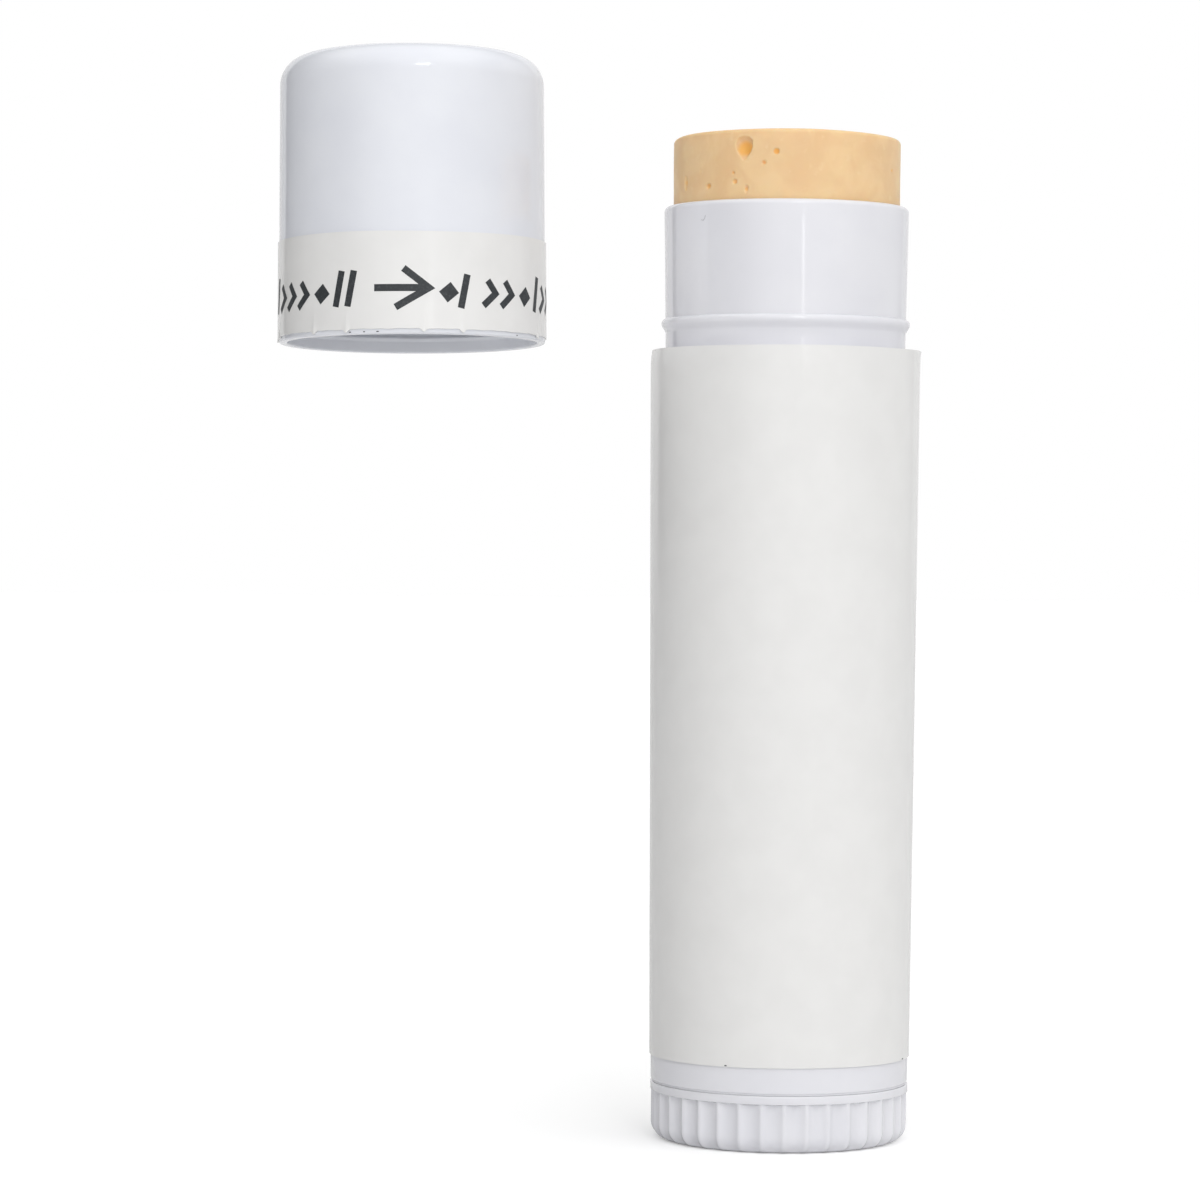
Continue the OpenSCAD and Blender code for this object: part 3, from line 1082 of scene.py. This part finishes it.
@dataclass
class TwistWheel:
    """The ribbed wheel under the tube, with its snap ring and the screw."""

    fits: Fits
    plastic: bpy.types.Material
    ring_r: float = 7.775
    ring_h: float = 0.5
    ring_step: float = 0.05
    ring_low_r: float = 0.04
    ring_high_r: float = 0.06
    edge_r: float = 1.0
    flute_count: int = 36
    flute_r: float = 0.92
    flute_deep: float = 0.24
    recess_r: float = 6.385
    recess_h: float = 2.15
    recess_chamfer: float = 0.1
    boss_r: float = 6.82
    boss_wall: float = 0.9
    snap_out: float = 0.22
    snap_h: float = 0.6
    root_r: float = 2.6
    root_top: float = 5.05
    thread_r: float = 1.5
    thread_off: float = 0.3
    lead: float = 5.0
    screw_top: float = 49.6
    soft: float = 0.05
    flute_low: float = 0.25
    flute_least: float = 0.3
    flute_columns: int = 18
    screw_sunk: float = 0.5
    sides: int = 24

    def section(self) -> Section:
        """Returns the wheel's section, from the middle of its underside to the screw's root."""
        top = self.fits.wheel_top
        crest = self.ring_r - self.ring_step
        ledge = top - self.ring_h
        edge = self.fits.edge_r
        half = self.snap_h / 2
        snap = self.fits.snap_z
        low, high = self.ring_low_r, self.ring_high_r
        chamfer = self.recess_chamfer
        wall = [(crest, z) for z in np.linspace(self.edge_r, ledge - 0.05, 12)[1:]]
        return [
            (0.0, 0.0),
            (self.root_r, 0.0),
            (self.root_r, self.recess_h),
            (self.recess_r, self.recess_h),
            (self.recess_r, chamfer),
            (self.recess_r + chamfer, 0.0),
            *arc((crest - self.edge_r, self.edge_r), self.edge_r, -90, 0, 14),
            *wall,
            (crest, ledge),
            *arc((self.ring_r - low, ledge + low), low, -90, 0, 3),
            *arc((self.ring_r - high, top - high), high, 0, 90, 4),
            (self.boss_r, top),
            (self.boss_r, snap - half),
            (self.boss_r + self.snap_out, snap - half / 3),
            (self.boss_r + self.snap_out, snap + half / 3),
            (self.boss_r, snap + half),
            *arc((self.boss_r - edge, self.fits.boss_top - edge), edge, 0, 90, 4),
            (self.boss_r - self.boss_wall, self.fits.boss_top),
            (self.boss_r - self.boss_wall, top),
            (self.root_r, top),
            (self.root_r, self.root_top),
            (0.0, self.root_top),
        ]

    def _flute(self, angle: np.ndarray, r: np.ndarray, z: np.ndarray) -> Moved:
        """Cuts the round flutes into the wheel below its ring."""
        pitch = 2 * math.pi / self.flute_count
        crest = self.ring_r - self.ring_step
        reach = crest + self.flute_r - self.flute_deep
        local = angle % pitch - pitch / 2
        side = reach * np.sin(local)
        inside = np.sqrt(np.maximum(self.flute_r**2 - side**2, 0.0))
        cut = np.where(np.abs(side) < self.flute_r, reach * np.cos(local) - inside, crest + 1)
        gap = np.maximum(self.soft - np.abs(crest - cut), 0.0) / self.soft
        deep = crest - np.minimum(crest, cut) + gap * gap * self.soft / 4
        below = (z < self.fits.wheel_top - self.ring_h - 0.01) & (r > self.recess_r + 0.2)
        share = np.clip(z / self.flute_low, self.flute_least, 1.0)
        return r - below * deep * share, z

    def _screw(self, shells: Shells) -> None:
        """Adds the screw: a round bar set off from the axis, winding about it."""
        low = self.root_top - self.screw_sunk
        turns = (self.screw_top - low) / self.lead
        slices = math.ceil(self.sides * turns)
        spin = np.linspace(0.0, 1.0, slices + 1) * turns * 2 * math.pi
        phase = -2 * math.pi * (low - self.root_top) / self.lead - spin
        around_bar = around(self.sides)
        off, bar_r, turn = self.thread_off, self.thread_r, phase[:, None]
        x = off * np.cos(turn) + bar_r * np.cos(around_bar + turn)
        y = off * np.sin(turn) + bar_r * np.sin(around_bar + turn)
        z = np.broadcast_to(np.linspace(low, self.screw_top, slices + 1)[:, None], x.shape)
        points = np.stack([x, y, z], axis=2).reshape(-1, 3)
        n = self.sides
        faces: list[tuple[int, ...]] = [
            (k * n + j, k * n + (j + 1) % n, (k + 1) * n + (j + 1) % n, (k + 1) * n + j)
            for k in range(slices)
            for j in range(n)
        ]
        faces.append(tuple(reversed(range(n))))
        faces.append(tuple(range(slices * n, (slices + 1) * n)))
        shells.add(points, faces)

    def build(self) -> None:
        """Makes the wheel and its screw."""
        shells = Shells()
        shells.turn(self.section(), around(self.flute_count * self.flute_columns), self._flute)
        self._screw(shells)
        settle(shells.piece("ribbed_wheel"), self.plastic, Body.WHEEL, "twist_wheel")


@dataclass(frozen=True)
class Hollow:
    """A casting hollow in the wax's side."""

    angle: float
    below_top: float
    half_w: float
    half_h: float
    deep: float
    taper: float = 0.0


@dataclass
class WaxStick:
    """The cast wax with its hollows and the grooves that the guide ribs leave."""

    fits: Fits
    wax: bpy.types.Material
    radius: float = 6.835
    top: float = 60.35
    edge_r: float = 0.25
    deck_z: float = 12.45
    cup_r: float = 6.16
    cup_top: float = 17.46
    nut_r: float = 2.91
    nut_top: float = 18.96
    screw_r: float = 2.05
    bore_top: float = 54.35
    groove_top: float = 55.15
    groove_w: float = 1.0
    groove_r: float = 6.4
    show: float = 4.85
    tilt: float = 0.018
    tilt_h: float = 3.0
    fine: float = 0.055
    lumps: float = 0.008
    swell: float = 0.006
    rim_wave: float = 0.02
    dish_deep: float = 0.1
    dish_r: float = 2.4
    hollows: tuple[Hollow, ...] = (
        Hollow(-24.3, 1.14, 0.5, 0.7, 0.42, 0.45),
        Hollow(-7.8, 1.37, 0.19, 0.19, 0.14),
        Hollow(-14.05, 2.02, 0.14, 0.12, 0.12),
        Hollow(-30.3, 2.57, 0.1, 0.1, 0.1),
        Hollow(-29.2, 3.1, 0.16, 0.15, 0.13),
        Hollow(-23.0, 3.56, 0.13, 0.24, 0.13, 0.3),
        Hollow(-45.4, 3.28, 0.2, 0.17, 0.13),
        Hollow(-64.1, 2.95, 0.2, 0.48, 0.13),
        Hollow(-50.5, 2.4, 0.12, 0.2, 0.04),
        Hollow(64.0, 2.1, 0.12, 0.12, 0.08),
        Hollow(118.0, 1.3, 0.22, 0.28, 0.16, 0.3),
        Hollow(161.0, 2.9, 0.14, 0.12, 0.1),
        Hollow(-128.0, 1.7, 0.12, 0.2, 0.1),
    )

    @classmethod
    def hollow_shades(cls) -> tuple[tuple[Colour, float, float], ...]:
        """Returns the middle, reach and strength of the painted shade, a deeper colour, in the
        hollows in front.
        """
        found = []
        for hollow in cls.hollows:
            if hollow.deep > 0.05 and abs(hollow.angle) < 70:
                turn = math.radians(FRONT + hollow.angle)
                floor_r = cls.radius - 0.5 * hollow.deep
                height = cls.top - hollow.below_top
                centre = (floor_r * math.cos(turn), floor_r * math.sin(turn), height)
                # Deeper hollows get stronger painted shade.
                strength = 0.95 if hollow.deep > 0.13 else 0.5
                found.append((centre, min(hollow.half_w, hollow.half_h), strength))
        return tuple(found)

    def section(self) -> Section:
        """Returns the wax's section from the bore's blind end to the middle of its top."""
        edge = self.edge_r
        seen = self.top - self.show
        fine_rows = np.arange(seen, self.top - edge - 0.01, self.fine)
        groove_rows = [self.groove_top - 0.02, self.groove_top + 0.02]
        coarse = np.linspace(self.cup_top, seen, 40)[1:-1]
        side = sorted({*coarse, *fine_rows, *groove_rows})
        return [
            (0.0, self.bore_top),
            (self.screw_r, self.bore_top),
            (self.screw_r, self.nut_top),
            (self.nut_r, self.nut_top),
            (self.nut_r, self.deck_z),
            (self.cup_r, self.deck_z),
            (self.cup_r, self.cup_top),
            *[(self.radius, z) for z in [self.cup_top, *side]],
            *arc((self.radius - edge, self.top - edge), edge, 0, 90, 7),
            *[(r, self.top) for r in np.linspace(self.radius - edge, 0.3, 26)[1:]],
            (0.0, self.top),
        ]

    def angles(self) -> np.ndarray:
        """Returns the columns' angles: close together in front and at the grooves' walls."""
        front = np.radians(FRONT + np.arange(-80.0, 80.0, 0.45))
        rest = np.radians(FRONT + np.arange(80.0, 280.0, 1.5))
        half = math.degrees(self.groove_w / 2 / self.radius)
        sides = [s * (half + d) for s in (-1, 1) for d in (-0.1, 0.1)]
        walls = [a + side for a in self.fits.rib_angles() for side in sides]
        full = np.concatenate([front, rest, np.radians(walls)]) % (2 * math.pi)
        return np.unique(np.round(full, 5))

    def _worn(self, angle: np.ndarray, r: np.ndarray, z: np.ndarray) -> Moved:
        """Adds the grooves, the hollows and the unevenness of a cast stick."""
        outside = r > self.radius - 1e-6
        degrees = np.degrees(angle)
        reach = math.degrees(self.groove_w / 2 / self.radius)
        for place in self.fits.rib_angles():
            away = np.abs((degrees - place + 180.0) % 360.0 - 180.0)
            grooved = outside & (away < reach) & (z < self.groove_top)
            r = np.where(grooved, self.groove_r, r)
        for hollow in self.hollows:
            r = r - outside * self._hollow(hollow, degrees, z)
        above = z > self.top - 2 * self.edge_r
        lumpy = self.lumps * ripple(3 * angle, 3 * z, 31) + self.swell * ripple(angle, z, 32)
        rim = self.rim_wave * ripple(angle, 0 * z, 33) * (r / self.radius) ** 2
        dish = self.dish_deep * np.exp(-((r / self.dish_r) ** 2)) + rim
        raised = np.clip((z - self.top) / self.tilt_h + 1, 0.0, 1.0)
        slope = self.tilt * (r * np.sin(angle) + self.radius)
        return r + outside * lumpy, z - above * dish - raised * slope

    def _hollow(self, hollow: Hollow, degrees: np.ndarray, z: np.ndarray) -> np.ndarray:
        """Returns how deep a hollow goes at each point."""
        away = (degrees - FRONT - hollow.angle + 180.0) % 360.0 - 180.0
        across = np.radians(away) * self.radius
        down = (self.top - hollow.below_top - z) / hollow.half_h
        width = hollow.half_w * np.clip(1 - hollow.taper * down, 0.2, 2.0)
        near_it = 1 - (across / width) ** 2 - down**2
        return hollow.deep * np.sqrt(np.clip(near_it, 0.0, 1.0))

    def build(self) -> None:
        """Makes the wax."""
        shells = Shells()
        shells.turn(self.section(), self.angles(), self._worn)
        settle(shells.piece("cast_wax", sharp=60), self.wax, Body.CARRIER, "wax_stick")


def dress_carrier(frame: dict, plastic: bpy.types.Material) -> None:
    """Gives the carrier, which stays hidden in the tube, the tube's plastic."""
    dress(frame["nodes"]["carrier"], plastic)
    LOG.info("carrier: kept as packed")


@dataclass(frozen=True)
class Glow:
    """A soft bright patch of the surroundings, or a dark one where its strength is below zero."""

    azimuth: float
    height: float
    spread: float
    strength: float


def toward(azimuth: float, height: float) -> Vector:
    """Returns a direction, from degrees to the viewer's right and degrees above the horizon."""
    turn, rise = math.radians(azimuth), math.radians(height)
    return Vector((math.sin(turn) * math.cos(rise), -math.cos(turn) * math.cos(rise), math.sin(rise)))


@dataclass
class Studio:
    """Pale floor, soft light and the camera."""

    scale_px: float = 16.54
    focal_px: float = 4182.0
    frame_px: float = 1200.0
    sensor: float = 36.0
    aim_x: float = -11.07
    aim_z: float = 32.43
    eye_z: float = 35.33
    roll: float = 0.5
    floor_half: float = 3.0
    floor_colour: Colour = (0.8, 0.8, 0.8)
    floor_glow: float = 0.3
    behind: float = 0.765
    backdrop: float = 0.85
    fill: float = 0.3
    glows: tuple[Glow, ...] = (
        Glow(-20.0, 25.0, 45.0, 0.65),
        Glow(40.0, 20.0, 45.0, 0.76),
        Glow(75.0, 10.0, 45.0, -0.27),
        Glow(110.0, 10.0, 45.0, 0.54),
        Glow(-50.0, 20.0, 45.0, -0.34),
        Glow(-85.0, 10.0, 45.0, -0.4),
        Glow(-120.0, 10.0, 45.0, -0.4),
        Glow(0.0, 80.0, 60.0, 1.2),
        Glow(0.0, 0.0, 45.0, 0.6),
    )

    def camera(self) -> None:
        """Makes the camera at the photograph's height, distance and lean."""
        lens = bpy.data.cameras.new("camera")
        lens.lens = self.sensor * self.focal_px / self.frame_px
        lens.sensor_width = self.sensor
        lens.clip_start = 0.01
        away = self.focal_px / self.scale_px
        eye = Vector((self.aim_x, -away, self.eye_z)) * MM
        aim = Vector((self.aim_x, 0.0, self.aim_z)) * MM
        forward = (aim - eye).normalized()
        lean = math.radians(self.roll)
        up = Vector((-math.sin(lean), 0.0, math.cos(lean)))
        right = forward.cross(up).normalized()
        up = right.cross(forward)
        turned = Matrix((right, up, -forward)).transposed().to_4x4()
        made = add_object("camera", lens)
        made.matrix_world = Matrix.Translation(eye) @ turned
        bpy.context.scene.camera = made

    def soft_light(
        self,
        name: str,
        azimuth: float,
        height: float,
        away: float,
        size: tuple[float, float],
        power: float,
    ) -> None:
        """Adds an area light that aims at the stick.

        Args:
            name: The light's name.
            azimuth: Its direction, in degrees to the right of the viewer.
            height: Its angle above the horizon, in degrees.
            away: Its distance in metres.
            size: Its width and height in metres.
            power: Its power in watts.
        """
        data = bpy.data.lights.new(name, "AREA")
        data.shape = "RECTANGLE"
        data.size, data.size_y = size
        data.energy = power
        aim = Vector((0.0, 0.0, self.aim_z * MM))
        way = toward(azimuth, height)
        made = add_object(name, data)
        made.location = aim + away * way
        made.rotation_euler = way.to_track_quat("Z", "Y").to_euler()
        made.visible_camera = False

    def lights(self) -> None:
        """Adds the two small lamps behind the glints on the cap's edge and on the neck."""
        self.soft_light("glint_lamp", 10.0, 31.5, 0.5, (0.09, 0.055), 0.18)
        self.soft_light("strip_lamp", 13.5, 8.6, 0.25, (0.008, 0.03), 0.0034)

    def world(self) -> None:
        """Lights the stick from all round, and shows white behind it."""
        world = bpy.data.worlds.new("studio")
        world.use_nodes = True
        bpy.context.scene.world = world
        graph = Graph(world.node_tree)
        way = graph.node("ShaderNodeTexCoord").outputs["Generated"]
        parts = graph.node("ShaderNodeSeparateXYZ", {}, {0: way})
        behind = Value(graph, parts.outputs[1]).over(self.behind - 0.01, self.behind + 0.01)
        lit = self.fill
        for glow in self.glows:
            inputs = {0: way, 1: toward(glow.azimuth, glow.height)}
            dot = {"operation": "DOT_PRODUCT"}
            near_it = graph.value("ShaderNodeVectorMath", dot, inputs, "Value")
            lit = lit + near_it.over(math.cos(math.radians(glow.spread)), 1.0) * glow.strength
        lit = lit.floored()
        level = lit + behind * (self.backdrop - lit)
        rays = graph.node("ShaderNodeLightPath").outputs
        through = Value(graph, rays["Is Transmission Ray"])
        seen = Value(graph, rays["Is Camera Ray"]) + through
        strength = level + seen * (1.0 - level)
        sky = graph.node("ShaderNodeBackground", {}, {"Color": (1.0, 1.0, 1.0), "Strength": strength})
        graph.node("ShaderNodeOutputWorld", {}, {"Surface": sky.outputs[0]})

    def floor(self) -> None:
        """Makes the pale floor that keeps the stick's soft shadow."""
        half = self.floor_half
        mesh = bpy.data.meshes.new("floor")
        corners = [(-half, -half, 0.0), (half, -half, 0.0), (half, half, 0.0), (-half, half, 0.0)]
        mesh.from_pydata(corners, [], [(0, 1, 2, 3)])
        plane = add_object("floor", mesh)
        material, graph = new_material("floor_card")
        seen = Value(graph, graph.node("ShaderNodeLightPath").outputs["Is Camera Ray"])
        card = graph.node("ShaderNodeBsdfDiffuse", {}, {"Color": self.floor_colour})
        glow = graph.node("ShaderNodeEmission", {}, {"Strength": self.floor_glow * seen})
        both = graph.node("ShaderNodeAddShader", {}, {0: card.outputs[0], 1: glow.outputs[0]})
        finish_surface(graph, both)
        dress(plane, material)

    def build(self) -> None:
        """Sets up the camera, the lights, the world and the floor."""
        bpy.context.scene.view_settings.view_transform = "Standard"
        self.camera()
        self.lights()
        self.world()
        self.floor()


@dataclass
class SunscreenStick:
    """The whole stick: sizes shared by the pieces, their finishes and the cap's place."""

    frame: dict
    fits: Fits = field(default_factory=Fits)
    cap_x: float = -22.55
    cap_z: float = 47.8
    cap_lean: float = 1.5
    cap_tip: float = 0.55

    def build(self) -> None:
        """Makes and dresses every piece."""
        tube_tones = ((0.78, 0.78, 0.815), (0.755, 0.755, 0.795))
        cap_tones = ((0.775, 0.79, 0.835), (0.75, 0.765, 0.815))
        tube_plastic = MouldedPlastic("tube_plastic", *tube_tones).material()
        cap_plastic = MouldedPlastic("cap_plastic", *cap_tones).material()
        film = WrapFilmFinish("label_film", (0.8, 0.795, 0.785), (0.78, 0.775, 0.765)).material()
        # The last wax tone is the painted shade of the hollows.
        wax_tones = ((0.9, 0.69, 0.42), (0.85, 0.61, 0.34), (0.8, 0.545, 0.295), (0.9, 0.5, 0.12))
        wax = WaxFinish("sun_wax", *wax_tones, shaded_hollows=WaxStick.hollow_shades()).material()
        ink = InkFinish("dark_print", (0.03, 0.034, 0.038), (0.06, 0.065, 0.07)).material()
        leaned = Matrix.Rotation(math.radians(-self.cap_lean), 4, "X")
        tipped = Matrix.Rotation(math.radians(-self.cap_tip), 4, "Y")
        cap_at = Matrix.Translation((self.cap_x, 0.0, self.cap_z)) @ tipped @ leaned
        scuffed = InkFinish("scuffed_plastic", (0.52, 0.52, 0.55), (0.66, 0.66, 0.69)).material()
        Tube(self.fits, tube_plastic, scuffed).build()
        TubeLabel(self.fits, film, ink).build()
        TwistWheel(self.fits, tube_plastic).build()
        dress_carrier(self.frame, tube_plastic)
        WaxStick(self.fits, wax).build()
        Cap(self.fits, cap_plastic, ink, cap_at).build()
        SealBand(self.fits, film, ink, cap_at).build()


def main() -> None:
    """Loads the frame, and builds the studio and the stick."""
    logging.basicConfig(level=logging.INFO, format="%(name)s: %(message)s")
    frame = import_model()
    Studio().build()
    SunscreenStick(frame).build()


if __name__ == "__main__":
    main()
